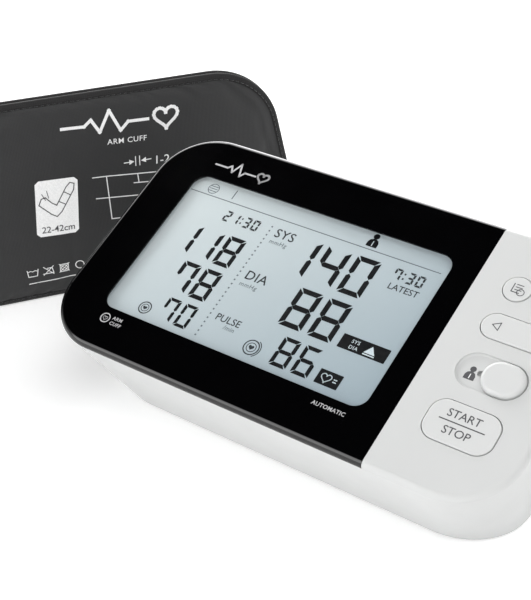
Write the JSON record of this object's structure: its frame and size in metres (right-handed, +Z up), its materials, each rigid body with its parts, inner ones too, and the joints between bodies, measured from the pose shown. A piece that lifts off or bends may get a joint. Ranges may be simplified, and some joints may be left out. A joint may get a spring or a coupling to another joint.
{
  "type": "upper arm blood pressure monitor",
  "caption": "Table-top blood pressure monitor with a tilted display panel, keys, pump and battery bay, and a folded arm cuff standing behind it.",
  "frame": {"origin": "middle of the footprint of the monitor and its cuff, on the table", "axes": "+X to the user's right along the display, +Y away from the user, +Z up"},
  "size_m": [0.2891, 0.1629, 0.093],
  "materials": {
    "battery_can": "sleeved alkaline cell",
    "black_gloss": "piano black, high gloss",
    "bladder_film": "sealed polyurethane film",
    "bracket_steel": "plated steel",
    "chip_black": "moulded epoxy",
    "circuit_board": "green solder mask",
    "clear_window": "clear acrylic window",
    "crank_steel": "ground steel",
    "cuff_binding": "black woven edge tape, stitched",
    "cuff_fabric": "charcoal coated nylon with white print",
    "cuff_lining": "black brushed loop nylon",
    "elastomer": "silicone rubber",
    "foot_rubber": "soft non-slip rubber",
    "gland_plastic": "moulded elbow",
    "hook_tape": "hook tape",
    "jack_black": "moulded",
    "jack_grey": "moulded",
    "lcd": "pale blue-grey reflective display with black segments",
    "nickel_contacts": "nickel plated",
    "pump_plastic": "natural acetal",
    "reflector_sheet": "white reflector",
    "screw_steel": "zinc plated",
    "shield_can": "tinned steel",
    "silicone_tube": "translucent silicone",
    "steel_can": "plated steel",
    "stiffener_sheet": "springy plastic sheet",
    "white_base": "satin moulded ABS",
    "white_frame": "moulded",
    "white_keys": "satin moulded ABS",
    "white_shell": "fine satin moulded ABS, cool white"
  },
  "bodies": {
    "monitor": {"air_jack": "jack_grey", "air_manifold": "pump_plastic", "air_tube_jack": "silicone_tube", "air_tube_pump": "silicone_tube", "air_tube_sensor": "silicone_tube", "air_tube_valve": "silicone_tube", "battery_1": "battery_can", "battery_2": "battery_can", "battery_3": "battery_can", "battery_4": "battery_can", "battery_contacts": "nickel_contacts", "buzzer": "chip_black", "case_screws": "screw_steel", "controller_chip": "chip_black", "dc_jack": "jack_black", "display_bezel": "black_gloss", "display_lens": "clear_window", "exhaust_valve": "steel_can", "key_switches": "chip_black", "lcd_contacts": "elastomer", "lcd_frame": "white_frame", "lcd_glass": "lcd", "lcd_reflector": "reflector_sheet", "lower_case": "white_base", "main_board": "circuit_board", "motor_can": "steel_can", "motor_sleeve": "elastomer", "pressure_sensor": "chip_black", "pump_head": "pump_plastic", "radio_module": "shield_can", "rubber_foot_1": "foot_rubber", "rubber_foot_2": "foot_rubber", "rubber_foot_3": "foot_rubber", "rubber_foot_4": "foot_rubber", "slide_switch": "shield_can", "upper_case": "white_shell", "valve_seat": "bracket_steel"},
    "start_stop_key": {"start_stop_button": "white_keys"},
    "memory_key": {"memory_button": "white_keys"},
    "settings_key": {"settings_button": "white_keys"},
    "rocker_key": {"arrow_rocker": "white_keys"},
    "user_switch": {"user_switch_knob": "white_keys", "switch_lever": "chip_black"},
    "door": {"battery_door": "white_base"},
    "crank": {"pump_crank": "crank_steel"},
    "plunger": {"valve_plunger": "crank_steel"},
    "cuff_front": {"cuff_front_binding": "cuff_binding", "cuff_front_bladder": "bladder_film", "cuff_front_cover": "cuff_fabric", "cuff_front_lining": "cuff_lining", "cuff_front_stiffener": "stiffener_sheet", "hose_gland": "gland_plastic"},
    "cuff_rear": {"cuff_rear_binding": "cuff_binding", "cuff_rear_bladder": "bladder_film", "cuff_rear_cover": "cuff_fabric", "cuff_rear_lining": "cuff_lining", "cuff_rear_stiffener": "stiffener_sheet", "hook_patch": "hook_tape"}
  },
  "joints": [
    {"name": "start_stop_press", "type": "slide", "parent": "monitor", "child": "start_stop_key", "axis": [0, 0.4337, -0.9011], "range_m": [0, 0.0008], "stiffness_N_per_m": 400, "springref_m": -0.0004},
    {"name": "memory_press", "type": "slide", "parent": "monitor", "child": "memory_key", "axis": [0, 0.4337, -0.9011], "range_m": [0, 0.0008], "stiffness_N_per_m": 400, "springref_m": -0.0004},
    {"name": "settings_press", "type": "slide", "parent": "monitor", "child": "settings_key", "axis": [0, 0.4337, -0.9011], "range_m": [0, 0.0008], "stiffness_N_per_m": 400, "springref_m": -0.0004},
    {"name": "rocker_tilt", "type": "hinge", "parent": "monitor", "child": "rocker_key", "pos_m": [0.1201, -0.02208, 0.0642], "axis": [0, 0.9011, 0.4337], "range_deg": [-3, 3], "stiffness_Nm_per_rad": 0.06},
    {"name": "user_switch_slide", "type": "slide", "parent": "monitor", "child": "user_switch", "axis": [1, 0, 0], "range_m": [-0.007, 0]},
    {"name": "battery_door_slide", "type": "slide", "parent": "monitor", "child": "door", "axis": [0, 1, 0], "range_m": [0, 0.066]},
    {"name": "pump_motor_spin", "type": "hinge", "parent": "monitor", "child": "crank", "pos_m": [0.099, -0.0183, 0.018], "axis": [0, 1, 0], "continuous": true},
    {"name": "valve_plunger_slide", "type": "slide", "parent": "monitor", "child": "plunger", "axis": [0, 0, 1], "range_m": [-0.0012, 0], "stiffness_N_per_m": 150, "springref_m": 0.0006},
    {"name": "cuff_lift_away", "type": "slide", "parent": "monitor", "child": "cuff_front", "axis": [-0.8415, 0.5402, 0], "range_m": [0, 0.12]},
    {"name": "cuff_open", "type": "hinge", "parent": "cuff_front", "child": "cuff_rear", "pos_m": [-0.1423, -0.07773, 0.0465], "axis": [0, 0, 1], "range_deg": [0, 80]}
  ]
}
